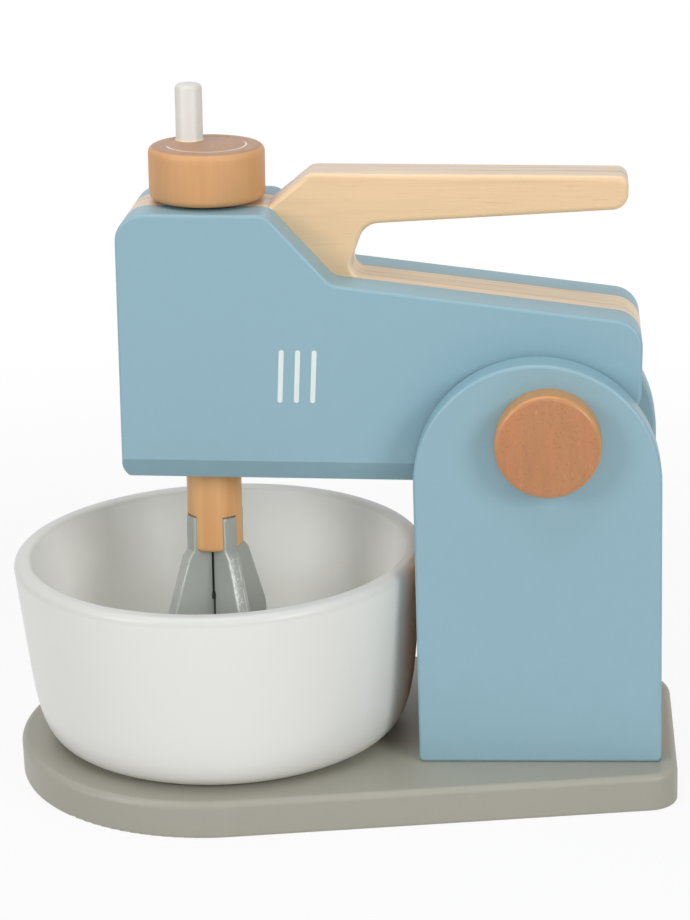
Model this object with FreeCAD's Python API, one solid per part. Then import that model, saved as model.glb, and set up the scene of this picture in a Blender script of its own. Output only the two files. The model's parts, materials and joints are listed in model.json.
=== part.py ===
import FreeCAD, Part
import math
import os

# A wooden play-kitchen stand mixer, in millimetres with +Z up.
# The origin is on the underside of the base, below the axis of the bowl. +X runs from the bowl
# towards the uprights, and -Y is the front. The head is drawn level and then tipped to its rest
# angle about the pivot, so heights marked "level" are those of the head before it is tipped.

V = FreeCAD.Vector

# ---- clearances -------------------------------------------------------------------------------
glue_gap = 0.05           # round a glued dowel, peg, blade or screw, on the radius
running_clearance = 0.07  # round the axle and the spindle, on the radius
washer_play = 0.1         # beside each washer
stop_gap = 0.1            # between the head and the lip that it rests on
swing_clearance = 0.3     # between the tail of the head and the hollow that it swings through
bowl_clearance = 1.0      # between the bowl's rim and the spacer block
blind_end_gap = 0.5       # past the end of a dowel, peg or screw in its blind hole
lap_gap = 0.22            # on each side of a blade in the slot of the other one
neck_end_gap = 0.3        # above the necks of the blades in the slots of the shaft

# ---- base -------------------------------------------------------------------------------------
base_thickness = 11.0
base_round_radius = 59.3
base_round_x = -2.1
base_end_x = 132.8
base_taper_deg = 8.8
base_front_corner_radius = 9.0
base_rear_corner_radius = 18.0
base_top_round = 2.0
base_foot_round = 1.0

# ---- head, level ------------------------------------------------------------------------------
core_thickness = 16.0
panel_thickness = 12.0
pivot_x = 96.8
pivot_z = 107.7
head_rest_tilt_deg = 1.4
head_nose_x = -23.7
head_tail_x = 122.5
head_bottom_z = 90.6
head_top_z = 167.4
head_crown_x = 18.3       # where the flat top turns down
head_knee_x = 36.4        # where the steep slope meets the long one
head_knee_z = 147.9
head_tail_z = 138.1
nose_top_radius = 8.0
nose_turn_z = 93.2        # where the nose starts to turn under
nose_turn_radius = 5.0
nose_heel_x = -22.2       # where it meets the flat bottom
nose_heel_radius = 1.2
crown_radius = 5.0
knee_radius = 4.5
tail_top_radius = 8.0
tail_turn_z = 114.5       # where the tail turns under, clear of the block when it swings
tail_heel_x = 102.4       # where it meets the flat bottom
tail_turn_radius = 12.0
panel_edge_round = 1.0
bevel_height = 6.0        # of the sloped lower edge of each panel
bevel_depth = 3.5

# ---- handle, level ----------------------------------------------------------------------------
handle_top_z = 176.7
handle_front_x = 29.4     # where the riser meets the top of the grip
handle_foot_x = 16.9      # where the riser leaves the crown of the head
handle_end_x = 117.9
handle_end_thickness = 9.4
handle_root_thickness = 14.3
throat_top_x = 44.8       # the finger gap's leaning end, at the grip
throat_foot_x = 39.6      # and at the long slope
handle_front_radius = 4.0
handle_end_top_radius = 3.0
handle_end_bottom_radius = 4.5
handle_root_depth = 14.0  # of the grip's root below the knee, inside the core
handle_toe = 12.5         # of the root past the throat, along the long slope
throat_top_radius = 5.9
throat_bottom_radius = 4.2
handle_edge_round = 1.5

# ---- uprights and the block between them ------------------------------------------------------
head_gap = 1.0            # between the head and each upright
upright_thickness = 10.0
upright_left_x = 59.2
upright_width = 69.0
upright_shoulder_z = 94.5  # where the straight sides turn into the round top
upright_corner_radius = 1.4
upright_outer_round = 1.0
upright_inner_round = 1.0
block_rear_inset = 2.2
block_edge_round = 1.0

# ---- pivot ------------------------------------------------------------------------------------
axle_radius = 6.0
axle_socket_depth = 5.0
cap_radius = 14.7
cap_thickness = 8.0
cap_edge_round = 1.5
washer_outer_radius = 12.0

# ---- knob, lever, spindle and shaft, level ----------------------------------------------------
knob_radius = 16.4
knob_height = 15.0
knob_top_round = 1.9
knob_bottom_round = 1.8
knob_rise = 0.8           # of the knob's underside above the head
knob_socket_depth = 10.0
knob_washer_radius = 8.5
lever_radius = 3.8
lever_height = 16.4
lever_socket_depth = 9.0
lever_offset_x = -5.6
lever_offset_y = 6.8
lever_top_round = 1.3
spindle_radius = 5.0
dowel_chamfer = 0.6
shaft_radius = 8.0
shaft_bottom_z = 64.35
shaft_socket_depth = 11.5
shaft_end_round = 1.3
shaft_drop = 0.8          # of the shaft's top below the head
shaft_washer_radius = 7.5

# ---- beater, level ----------------------------------------------------------------------------
blade_thickness = 4.4
blade_angle_deg = 39.5    # of the first blade, from -Y towards +X
blade_neck_half_width = 8.6
blade_neck_length = 10.35 # inside the slots of the shaft
blade_shoulder_drop = 1.9
blade_shoulder_half_width = 10.25
blade_belly_radius = 16.3
blade_belly_z = 41.2
blade_lap_z = 50.0        # where the slot of one blade meets the slot of the other
blade_edge_round = 0.6

# ---- bowl -------------------------------------------------------------------------------------
bowl_rim_radius = 60.45   # where the leaning side would meet the flat rim
bowl_rim_outer_round = 2.6
bowl_rim_inner_round = 1.3
bowl_height = 55.2
bowl_wall = 5.3
bowl_floor = 5.0
bowl_belly_radius = 57.3
bowl_belly_height = 26.8
bowl_foot_radius = 46.0

# ---- dowels and screws ------------------------------------------------------------------------
head_dowel_radius = 4.0
head_dowel_reach = 8.0    # into each panel
head_dowel_spots = [(-14.0, 152.0), (-14.0, 106.0), (58.0, 130.0), (62.0, 106.0)]
stand_dowel_radius = 4.0
stand_dowel_reach = 6.5   # into each upright
stand_dowel_height = 55.0
screw_radius = 1.75
screw_head_radius = 3.5
screw_head_height = 1.75
screw_recess = 0.6        # of the head into the underside of the base
screw_length = 28.0
screw_point = 3.0
screw_inset = 15.0        # from the ends of the uprights

# ---- places worked out from the sizes ---------------------------------------------------------
core_face_y = core_thickness / 2
head_face_y = core_face_y + panel_thickness
upright_inner_y = head_face_y + head_gap
upright_outer_y = upright_inner_y + upright_thickness
upright_mid_y = upright_inner_y + upright_thickness / 2
upright_right_x = upright_left_x + upright_width
block_left_x = bowl_rim_radius + bowl_clearance
block_right_x = upright_right_x - block_rear_inset
pivot = V(pivot_x, 0, pivot_z)
hollow_radius = head_tail_x - pivot_x + swing_clearance
knob_bottom_z = head_top_z + knob_rise
knob_top_z = knob_bottom_z + knob_height
shaft_top_z = head_bottom_z - shaft_drop
screw_spots_x = [upright_left_x + screw_inset, upright_right_x - screw_inset]
screw_spots = [(x, y) for x in screw_spots_x for y in (-upright_mid_y, 0, upright_mid_y)]


# ---- drawing helpers --------------------------------------------------------------------------
def in_xz(x, z):
    """A point in the plane Y = 0, where the outlines are drawn."""
    return V(x, 0, z)


def rounded_outline(corners):
    """A closed wire at Y = 0 through corners (x, z, radius), each rounded by its own radius."""
    ends = []
    for i, (x, z, radius) in enumerate(corners):
        corner = in_xz(x, z)
        before = in_xz(*corners[i - 1][:2])
        after = in_xz(*corners[(i + 1) % len(corners)][:2])
        back = (before - corner).normalize()
        ahead = (after - corner).normalize()
        half_angle = back.getAngle(ahead) / 2
        reach = radius / math.tan(half_angle)
        middle = (back + ahead).normalize() * (radius / math.sin(half_angle) - radius)
        ends.append((corner + back * reach, corner + middle, corner + ahead * reach, radius))
    edges = []
    for i, (start, middle, end, radius) in enumerate(ends):
        last_end = ends[i - 1][2]
        if last_end.distanceToPoint(start) > 1e-6:
            edges.append(Part.LineSegment(last_end, start).toShape())
        if radius > 0:
            edges.append(Part.Arc(start, middle, end).toShape())
    return Part.Wire(edges)


def plate(wire, y_from, y_to):
    """A plate with its outline drawn at Y = 0, between two values of Y."""
    face = Part.Face(wire)
    face.translate(V(0, y_from, 0))
    return face.extrude(V(0, y_to - y_from, 0))


def cylinder_z(radius, x, y, z_from, z_to):
    return Part.makeCylinder(radius, z_to - z_from, V(x, y, z_from))


def cylinder_y(radius, x, z, y_from, y_to):
    return Part.makeCylinder(radius, y_to - y_from, V(x, y_from, z), V(0, 1, 0))


def turned(points):
    """A solid of revolution about Z from an outline of (radius, z) points."""
    outline = [V(r, 0, z) for r, z in points]
    face = Part.Face(Part.makePolygon(outline + outline[:1]))
    return face.revolve(V(0, 0, 0), V(0, 0, 1), 360)


def edges_at(shape, direction, value):
    """The edges that lie in the plane where the coordinate along a direction has a value."""
    low, high = direction + "Min", direction + "Max"
    return [edge for edge in shape.Edges
            if abs(getattr(edge.BoundBox, low) - value) < 1e-4
            and abs(getattr(edge.BoundBox, high) - value) < 1e-4]


def dowel(radius, length, chamfer):
    """A dowel along Z from the origin, chamfered at both ends."""
    rod = Part.makeCylinder(radius, length)
    return rod.makeChamfer(chamfer, edges_at(rod, "Z", 0) + edges_at(rod, "Z", length))


def mirrored(shape):
    """The piece on the far side of the plane Y = 0."""
    return shape.mirror(V(0, 0, 0), V(0, 1, 0))


def tipped(shape):
    """A piece of the head, drawn level, at the head's rest angle."""
    moved = shape.copy()
    moved.rotate(pivot, V(0, 1, 0), head_rest_tilt_deg)
    return moved


def tipped_height(x, level_z):
    """The height over x of a level line of the head once the head is tipped."""
    tilt = math.radians(head_rest_tilt_deg)
    return pivot_z + (level_z - pivot_z) / math.cos(tilt) - (x - pivot_x) * math.tan(tilt)


# ---- base and screws --------------------------------------------------------------------------
def base_side(corner_radius):
    """Points along the far side of the base, from the round end to the straight one."""
    slope = math.radians(base_taper_deg)
    outward = V(math.sin(slope), math.cos(slope), 0)
    round_centre = V(base_round_x, 0, 0)
    side_distance = base_round_radius + round_centre.dot(outward)
    centre_x = base_end_x - corner_radius
    centre_y = (side_distance - corner_radius - centre_x * math.sin(slope)) / math.cos(slope)
    centre = V(centre_x, centre_y, 0)
    diagonal = (outward + V(1, 0, 0)).normalize()
    return [round_centre + outward * base_round_radius, centre + outward * corner_radius,
            centre + diagonal * corner_radius, centre + V(corner_radius, 0, 0)]


def base_outline():
    """A large round end below the bowl that tapers to a straight end with rounded corners."""
    far = base_side(base_rear_corner_radius)
    near = [V(p.x, -p.y, 0) for p in base_side(base_front_corner_radius)]
    nose = V(base_round_x - base_round_radius, 0, 0)
    return Part.Wire([
        Part.Arc(near[0], nose, far[0]).toShape(),
        Part.LineSegment(far[0], far[1]).toShape(),
        Part.Arc(far[1], far[2], far[3]).toShape(),
        Part.LineSegment(far[3], near[3]).toShape(),
        Part.Arc(near[3], near[2], near[1]).toShape(),
        Part.LineSegment(near[1], near[0]).toShape(),
    ])


def screw_hole(x, y):
    """A countersunk hole from below, with its pilot hole in the piece above."""
    radius = screw_radius + glue_gap
    sink_radius = screw_head_radius + glue_gap
    tip_z = screw_recess + screw_length + blind_end_gap
    hole = turned([(0, -1), (sink_radius, -1), (sink_radius, screw_recess),
                   (radius, screw_recess + screw_head_height), (radius, tip_z), (0, tip_z)])
    hole.translate(V(x, y, 0))
    return hole


def screw(x, y):
    tip_z = screw_recess + screw_length
    body = turned([(0, screw_recess), (screw_head_radius, screw_recess),
                   (screw_radius, screw_recess + screw_head_height),
                   (screw_radius, tip_z - screw_point), (0, tip_z)])
    body.translate(V(x, y, 0))
    return body


def base_plate():
    slab = Part.Face(base_outline()).extrude(V(0, 0, base_thickness))
    slab = slab.makeFillet(base_top_round, edges_at(slab, "Z", base_thickness))
    slab = slab.makeFillet(base_foot_round, edges_at(slab, "Z", 0))
    return slab.cut([screw_hole(x, y) for x, y in screw_spots])


def base_screws():
    return Part.makeCompound([screw(x, y) for x, y in screw_spots])


# ---- uprights and the block between them ------------------------------------------------------
def stand_dowel_spots():
    """Where the cross dowels join the block to the uprights, above the screws."""
    return [(x, stand_dowel_height) for x in screw_spots_x]


def front_upright():
    """A board with a round top and slightly rounded lower corners, its bottom on the base."""
    crown_z = upright_shoulder_z + upright_width / 2
    board = plate(rounded_outline([
        (upright_left_x, base_thickness, upright_corner_radius),
        (upright_left_x, crown_z, upright_width / 2),
        (upright_right_x, crown_z, upright_width / 2),
        (upright_right_x, base_thickness, upright_corner_radius),
    ]), -upright_outer_y, -upright_inner_y)
    board = board.makeFillet(upright_outer_round, edges_at(board, "Y", -upright_outer_y))
    board = board.makeFillet(upright_inner_round, edges_at(board, "Y", -upright_inner_y))
    deep_y = -upright_inner_y - stand_dowel_reach - blind_end_gap
    holes = [cylinder_y(axle_radius + glue_gap, pivot_x, pivot_z,
                        -upright_outer_y - 1, -upright_inner_y + 1)]
    holes += [cylinder_y(stand_dowel_radius + glue_gap, x, z, deep_y, -upright_inner_y + 1)
              for x, z in stand_dowel_spots()]
    holes += [screw_hole(x, -upright_mid_y) for x in screw_spots_x]
    return board.cut(holes)


def spacer_block():
    """The block that joins the uprights: a lip that carries the head at rest, a hollow that its
    tail swings through, and a flat seat that its tail lies on when the head is tipped right back."""
    seat_z = pivot_z - hollow_radius
    lip_left_z = tipped_height(block_left_x, head_bottom_z) - stop_gap
    lip_x = pivot_x - math.sqrt(hollow_radius ** 2 - (pivot_z - lip_left_z) ** 2)
    lip_right_z = tipped_height(lip_x, head_bottom_z) - stop_gap
    lip_x = pivot_x - math.sqrt(hollow_radius ** 2 - (pivot_z - lip_right_z) ** 2)
    lip_angle = math.atan2(lip_right_z - pivot_z, lip_x - pivot_x)
    middle_angle = (lip_angle - math.pi / 2) / 2
    arc_middle = pivot + in_xz(math.cos(middle_angle), math.sin(middle_angle)) * hollow_radius
    lip = in_xz(lip_x, lip_right_z)
    hollow_end = in_xz(pivot_x, seat_z)
    corners = [in_xz(pivot_x, seat_z), in_xz(block_right_x, seat_z), in_xz(block_right_x, base_thickness),
               in_xz(block_left_x, base_thickness), in_xz(block_left_x, lip_left_z), lip]
    edges = [Part.LineSegment(a, b).toShape() for a, b in zip(corners, corners[1:])]
    edges.append(Part.Arc(lip, arc_middle, hollow_end).toShape())
    block = plate(Part.Wire(edges), -upright_inner_y, upright_inner_y)
    rear_edge = [edge for edge in edges_at(block, "X", block_right_x)
                 if abs(edge.BoundBox.ZMin - seat_z) < 1e-4]
    block = block.makeFillet(block_edge_round, rear_edge)
    holes = [cylinder_y(stand_dowel_radius + glue_gap, x, z, -upright_inner_y - 1, upright_inner_y + 1)
             for x, z in stand_dowel_spots()]
    holes += [screw_hole(x, 0) for x in screw_spots_x]
    return block.cut(holes)


def stand_dowels():
    length = 2 * (upright_inner_y + stand_dowel_reach)
    dowels = []
    for x, z in stand_dowel_spots():
        rod = dowel(stand_dowel_radius, length, dowel_chamfer)
        rod.rotate(V(0, 0, 0), V(1, 0, 0), -90)
        rod.translate(V(x, -length / 2, z))
        dowels.append(rod)
    return Part.makeCompound(dowels)


# ---- pivot ------------------------------------------------------------------------------------
def pivot_axle():
    half_length = upright_outer_y + axle_socket_depth
    axle = dowel(axle_radius, 2 * half_length, dowel_chamfer)
    axle.rotate(V(0, 0, 0), V(1, 0, 0), -90)
    axle.translate(V(pivot_x, -half_length, pivot_z))
    return axle


def front_pivot_cap():
    outer_y = -upright_outer_y - cap_thickness
    cap = cylinder_y(cap_radius, pivot_x, pivot_z, outer_y, -upright_outer_y)
    cap = cap.makeFillet(cap_edge_round, edges_at(cap, "Y", outer_y))
    depth = axle_socket_depth + blind_end_gap
    return cap.cut(cylinder_y(axle_radius + glue_gap, pivot_x, pivot_z,
                              -upright_outer_y - depth, -upright_outer_y + 1))


def front_pivot_washer():
    front_y = -upright_inner_y + washer_play
    back_y = -head_face_y - washer_play
    ring = cylinder_y(washer_outer_radius, pivot_x, pivot_z, front_y, back_y)
    bore = cylinder_y(axle_radius + running_clearance, pivot_x, pivot_z, front_y - 1, back_y + 1)
    return ring.cut(bore)


# ---- head -------------------------------------------------------------------------------------
def head_outline():
    """The side view of the three layers of the head, level."""
    return rounded_outline([
        (nose_heel_x, head_bottom_z, nose_heel_radius),
        (head_nose_x, nose_turn_z, nose_turn_radius),
        (head_nose_x, head_top_z, nose_top_radius),
        (head_crown_x, head_top_z, crown_radius),
        (head_knee_x, head_knee_z, knee_radius),
        (head_tail_x, head_tail_z, tail_top_radius),
        (head_tail_x, tail_turn_z, tail_turn_radius),
        (tail_heel_x, head_bottom_z, tail_turn_radius),
    ])


def head_dowel_holes(y_from, y_to):
    return [cylinder_y(head_dowel_radius + glue_gap, x, z, y_from, y_to)
            for x, z in head_dowel_spots]


def front_panel_level():
    """The front layer, with a rounded outer edge and a sloped lower edge."""
    board = plate(head_outline(), -head_face_y, -core_face_y)
    board = board.makeFillet(panel_edge_round, edges_at(board, "Y", -head_face_y))
    start_x = head_nose_x - 1
    outer = V(start_x, -head_face_y, head_bottom_z + bevel_height)
    inner = V(start_x, -head_face_y + bevel_depth, head_bottom_z)
    past = (inner - outer) / 4    # carries the cut past both edges of the bevel
    below = V(start_x, (outer - past).y, (inner + past).z)
    triangle = Part.makePolygon([outer - past, inner + past, below, outer - past])
    wedge = Part.Face(triangle).extrude(V(head_tail_x + 1 - start_x, 0, 0))
    axle_hole = cylinder_y(axle_radius + running_clearance, pivot_x, pivot_z,
                           -head_face_y - 1, -core_face_y + 1)
    deep_y = -core_face_y - head_dowel_reach - blind_end_gap
    return board.cut([wedge, axle_hole] + head_dowel_holes(deep_y, -core_face_y + 1))


def handle_level():
    """The grip that rises from the core, open at its rear end, with its root inside the head."""
    knee_slope = (head_tail_z - head_knee_z) / (head_tail_x - head_knee_x)

    def long_slope_z(x):
        return head_knee_z + knee_slope * (x - head_knee_x)

    root_z = head_knee_z - handle_root_depth
    toe_x = throat_foot_x + handle_toe
    wire = rounded_outline([
        (handle_foot_x, root_z, 0),
        (handle_foot_x, head_top_z - panel_edge_round, 0),
        (handle_front_x, handle_top_z, handle_front_radius),
        (handle_end_x, handle_top_z, handle_end_top_radius),
        (handle_end_x, handle_top_z - handle_end_thickness, handle_end_bottom_radius),
        (throat_top_x, handle_top_z - handle_root_thickness, throat_top_radius),
        (throat_foot_x, long_slope_z(throat_foot_x), throat_bottom_radius),
        (toe_x, long_slope_z(toe_x), 0),
        (toe_x, root_z, 0),
    ])
    grip = plate(wire, -core_face_y, core_face_y)
    side_edges = edges_at(grip, "Y", -core_face_y) + edges_at(grip, "Y", core_face_y)
    return grip.makeFillet(handle_edge_round, side_edges)


def head_core_level():
    core = plate(head_outline(), -core_face_y, core_face_y)
    core = core.fuse(handle_level()).removeSplitter()
    bore = cylinder_z(spindle_radius + running_clearance, 0, 0, head_bottom_z - 1, head_top_z + 1)
    axle_hole = cylinder_y(axle_radius + running_clearance, pivot_x, pivot_z,
                           -core_face_y - 1, core_face_y + 1)
    return core.cut([bore, axle_hole] + head_dowel_holes(-core_face_y - 1, core_face_y + 1))


def head_dowels_level():
    half_length = core_face_y + head_dowel_reach
    dowels = []
    for x, z in head_dowel_spots:
        rod = dowel(head_dowel_radius, 2 * half_length, dowel_chamfer)
        rod.rotate(V(0, 0, 0), V(1, 0, 0), -90)
        rod.translate(V(x, -half_length, z))
        dowels.append(rod)
    return Part.makeCompound(dowels)


# ---- knob, spindle and shaft ------------------------------------------------------------------
def knob_level():
    body = cylinder_z(knob_radius, 0, 0, knob_bottom_z, knob_top_z)
    body = body.makeFillet(knob_top_round, edges_at(body, "Z", knob_top_z))
    body = body.makeFillet(knob_bottom_round, edges_at(body, "Z", knob_bottom_z))
    socket_top_z = knob_bottom_z + knob_socket_depth + blind_end_gap
    socket = cylinder_z(spindle_radius + glue_gap, 0, 0, knob_bottom_z - 1, socket_top_z)
    lever_end_z = knob_top_z - lever_socket_depth - blind_end_gap
    lever_hole = cylinder_z(lever_radius + glue_gap, lever_offset_x, lever_offset_y,
                            lever_end_z, knob_top_z + 1)
    return body.cut([socket, lever_hole])


def knob_lever_level():
    foot_z = knob_top_z - lever_socket_depth
    tip_z = knob_top_z + lever_height
    peg = cylinder_z(lever_radius, lever_offset_x, lever_offset_y, foot_z, tip_z)
    return peg.makeFillet(lever_top_round, edges_at(peg, "Z", tip_z))


def knob_washer_level():
    top_z = knob_bottom_z - washer_play
    ring = cylinder_z(knob_washer_radius, 0, 0, head_top_z, top_z)
    bore = cylinder_z(spindle_radius + running_clearance, 0, 0, head_top_z - 1, top_z + 1)
    return ring.cut(bore)


def shaft_washer_level():
    top_z = head_bottom_z - washer_play
    ring = cylinder_z(shaft_washer_radius, 0, 0, shaft_top_z, top_z)
    return ring.cut(cylinder_z(spindle_radius + glue_gap, 0, 0, shaft_top_z - 1, top_z + 1))


def spindle_level():
    foot_z = shaft_top_z - shaft_socket_depth
    rod = dowel(spindle_radius, knob_bottom_z + knob_socket_depth - foot_z, dowel_chamfer)
    rod.translate(V(0, 0, foot_z))
    return rod


def beater_shaft_level():
    """A thick dowel with a cross of slots in its lower end for the blades."""
    rod = cylinder_z(shaft_radius, 0, 0, shaft_bottom_z, shaft_top_z)
    rod = rod.makeFillet(shaft_end_round, edges_at(rod, "Z", shaft_bottom_z))
    foot_z = shaft_top_z - shaft_socket_depth - blind_end_gap
    cuts = [cylinder_z(spindle_radius + glue_gap, 0, 0, foot_z, shaft_top_z + 1)]
    width = blade_thickness + 2 * glue_gap
    slot_top_z = shaft_bottom_z + blade_neck_length + neck_end_gap
    slot = Part.makeBox(4 * shaft_radius, width, slot_top_z - shaft_bottom_z + 1,
                        V(-2 * shaft_radius, -width / 2, shaft_bottom_z - 1))
    for angle in blade_angles():
        turned_slot = slot.copy()
        turned_slot.rotate(V(0, 0, 0), V(0, 0, 1), angle)
        cuts.append(turned_slot)
    return rod.cut(cuts)


# ---- beater blades ----------------------------------------------------------------------------
def blade_angles():
    """The turn about Z of each blade, which is drawn along X."""
    return [blade_angle_deg - 90, blade_angle_deg]


def blade_outline():
    """A neck, square shoulders and straight flanks that run into a round belly."""
    shoulder_z = shaft_bottom_z - blade_shoulder_drop
    neck_top_z = shaft_bottom_z + blade_neck_length
    run = math.hypot(blade_shoulder_half_width, shoulder_z - blade_belly_z)
    lean = math.atan2(shoulder_z - blade_belly_z, blade_shoulder_half_width)
    touch = lean - math.acos(blade_belly_radius / run)
    touch_x = blade_belly_radius * math.cos(touch)
    touch_z = blade_belly_z + blade_belly_radius * math.sin(touch)
    right = [(touch_x, touch_z), (blade_shoulder_half_width, shoulder_z),
             (blade_neck_half_width, shaft_bottom_z), (blade_neck_half_width, neck_top_z)]
    left = [(-x, z) for x, z in reversed(right)]
    points = [in_xz(x, z) for x, z in right + left]
    edges = [Part.LineSegment(a, b).toShape() for a, b in zip(points, points[1:])]
    bottom = in_xz(0, blade_belly_z - blade_belly_radius)
    edges.append(Part.Arc(points[-1], bottom, points[0]).toShape())
    return Part.Wire(edges)


def blade_level(index, slot_from_z, slot_to_z):
    """One flat blade with the slot that halves it over the other one."""
    half = blade_thickness / 2
    board = plate(blade_outline(), -half, half)
    side_edges = edges_at(board, "Y", -half) + edges_at(board, "Y", half)
    board = board.makeFillet(blade_edge_round, side_edges)
    width = blade_thickness + 2 * lap_gap
    slot = Part.makeBox(width, 2 * blade_thickness, slot_to_z - slot_from_z,
                        V(-width / 2, -blade_thickness, slot_from_z))
    board = board.cut(slot)
    board.rotate(V(0, 0, 0), V(0, 0, 1), blade_angles()[index])
    return board


def beater_blade_a_level():
    """The blade that is slotted from below."""
    return blade_level(0, blade_belly_z - blade_belly_radius - 1, blade_lap_z + glue_gap)


def beater_blade_b_level():
    """The blade that is slotted from above."""
    return blade_level(1, blade_lap_z - glue_gap, shaft_bottom_z + blade_neck_length + 1)


# ---- bowl -------------------------------------------------------------------------------------
def bowl():
    """A turned bowl with a rounded rim, sides that draw in a little and a curve to a flat foot."""
    rim_z = base_thickness + bowl_height
    belly_z = base_thickness + bowl_belly_height
    lean = (bowl_rim_radius - bowl_belly_radius) / (rim_z - belly_z)
    ellipse = 4 / 3 * (math.sqrt(2) - 1)

    def quarter(belly_radius, top_z, foot_radius, foot_z):
        """The curve from the side down to the foot, close to a quarter of an ellipse."""
        drop = ellipse * (top_z - foot_z)
        reach = ellipse * (belly_radius - foot_radius)
        curve = Part.BezierCurve()
        curve.setPoles([V(belly_radius, 0, top_z), V(belly_radius - lean * drop, 0, top_z - drop),
                        V(foot_radius + reach, 0, foot_z), V(foot_radius, 0, foot_z)])
        return curve.toShape()

    floor_z = base_thickness + bowl_floor
    inner_belly = bowl_belly_radius - bowl_wall
    inner_foot = bowl_foot_radius - bowl_wall
    outer_rim = V(bowl_rim_radius, 0, rim_z)
    inner_rim = V(bowl_rim_radius - bowl_wall, 0, rim_z)
    wire = Part.Wire([
        Part.LineSegment(V(0, 0, base_thickness), V(bowl_foot_radius, 0, base_thickness)).toShape(),
        quarter(bowl_belly_radius, belly_z, bowl_foot_radius, base_thickness),
        Part.LineSegment(V(bowl_belly_radius, 0, belly_z), outer_rim).toShape(),
        Part.LineSegment(outer_rim, inner_rim).toShape(),
        Part.LineSegment(inner_rim, V(inner_belly, 0, belly_z)).toShape(),
        quarter(inner_belly, belly_z, inner_foot, floor_z),
        Part.LineSegment(V(inner_foot, 0, floor_z), V(0, 0, floor_z)).toShape(),
        Part.LineSegment(V(0, 0, floor_z), V(0, 0, base_thickness)).toShape(),
    ])
    vessel = Part.Face(wire).revolve(V(0, 0, 0), V(0, 0, 1), 360)
    outer_edge = max(edges_at(vessel, "Z", rim_z), key=lambda edge: edge.BoundBox.XMax)
    vessel = vessel.makeFillet(bowl_rim_outer_round, [outer_edge])
    inner_edge = min(edges_at(vessel, "Z", rim_z), key=lambda edge: edge.BoundBox.XMax)
    return vessel.makeFillet(bowl_rim_inner_round, [inner_edge])


# ---- all pieces -------------------------------------------------------------------------------
def build():
    """Every piece by its name, in its place at rest."""
    upright, cap, washer = front_upright(), front_pivot_cap(), front_pivot_washer()
    panel = front_panel_level()
    return {
        "base_plate": base_plate(),
        "base_screws": base_screws(),
        "front_upright": upright,
        "rear_upright": mirrored(upright),
        "spacer_block": spacer_block(),
        "stand_dowels": stand_dowels(),
        "pivot_axle": pivot_axle(),
        "front_pivot_cap": cap,
        "rear_pivot_cap": mirrored(cap),
        "front_pivot_washer": washer,
        "rear_pivot_washer": mirrored(washer),
        "head_front_panel": tipped(panel),
        "head_core": tipped(head_core_level()),
        "head_rear_panel": tipped(mirrored(panel)),
        "head_dowels": tipped(head_dowels_level()),
        "knob_washer": tipped(knob_washer_level()),
        "knob": tipped(knob_level()),
        "knob_lever": tipped(knob_lever_level()),
        "spindle": tipped(spindle_level()),
        "shaft_washer": tipped(shaft_washer_level()),
        "beater_shaft": tipped(beater_shaft_level()),
        "beater_blade_a": tipped(beater_blade_a_level()),
        "beater_blade_b": tipped(beater_blade_b_level()),
        "bowl": bowl(),
    }


os.makedirs("parts", exist_ok=True)
for name, shape in build().items():
    shape.exportStep(os.path.join("parts", name + ".step"))
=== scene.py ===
"""A wooden play-kitchen stand mixer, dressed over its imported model.

The file is laid out as an add-on. Each operator models or finishes one piece or a group of like
pieces, and main() runs them in order. Lengths are in metres and angles in radians.
"""

import json
import math

import bpy
from mathutils import Matrix, Vector, geometry


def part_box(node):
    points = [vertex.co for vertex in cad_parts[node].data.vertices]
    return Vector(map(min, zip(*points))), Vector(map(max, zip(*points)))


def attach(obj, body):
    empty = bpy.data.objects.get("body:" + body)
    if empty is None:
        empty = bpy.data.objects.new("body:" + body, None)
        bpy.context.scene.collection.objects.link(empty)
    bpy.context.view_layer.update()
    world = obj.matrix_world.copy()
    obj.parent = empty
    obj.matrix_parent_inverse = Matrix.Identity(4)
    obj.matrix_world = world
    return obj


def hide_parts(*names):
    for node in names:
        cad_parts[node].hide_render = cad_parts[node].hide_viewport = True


bl_info = {
    "name": "Toy Stand Mixer",
    "version": (1, 0, 0),
    "blender": (4, 5, 0),
    "location": "3D View > Sidebar > Mixer",
    "description": "Models and finishes the pieces of a wooden toy stand mixer",
    "category": "Object",
}

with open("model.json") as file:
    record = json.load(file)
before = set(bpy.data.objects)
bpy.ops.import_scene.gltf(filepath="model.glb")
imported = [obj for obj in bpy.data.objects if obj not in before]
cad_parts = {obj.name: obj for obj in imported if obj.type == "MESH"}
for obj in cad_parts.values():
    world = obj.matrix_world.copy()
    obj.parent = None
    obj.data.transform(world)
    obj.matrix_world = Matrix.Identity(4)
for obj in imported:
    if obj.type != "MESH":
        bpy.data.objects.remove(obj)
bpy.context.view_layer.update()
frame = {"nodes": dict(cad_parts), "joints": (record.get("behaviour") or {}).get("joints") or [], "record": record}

MM = 0.001
joints = {joint["name"]: joint for joint in frame["joints"]}
pivot = Vector(joints["head_tilt"]["pos_m"])
spin_axis = Vector(joints["knob_spin"]["axis"])
spin_foot = Vector(joints["knob_spin"]["pos_m"])
head_tilt = math.atan2(spin_axis.x, spin_axis.z)
cap_low, cap_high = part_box("front_pivot_cap")
bodies = frame["record"]["behaviour"]["bodies"]
node_body = {node: body for body, nodes in bodies.items() for node in nodes}

# ---- places and sizes of the pieces ------------------------------------------------------------
# The head, the knob and the beater are measured as they are with the head level.
CORE_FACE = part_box("head_core")[1].y   # from the head's middle to the face of its core
PANEL_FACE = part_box("head_rear_panel")[1].y   # and to the outer face of a panel
HANDLE_START = (160 * MM, 172 * MM)    # heights between which the core becomes the handle
SEAM_END = (150 * MM, 165 * MM)        # heights between which the painted shade along a seam runs out
SHEET_MIDDLE_Z = 130 * MM              # height at which the sheets of grain in the core are upright
SHEET_BOW = 420 * MM                   # twice the radius of their bow

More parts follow.
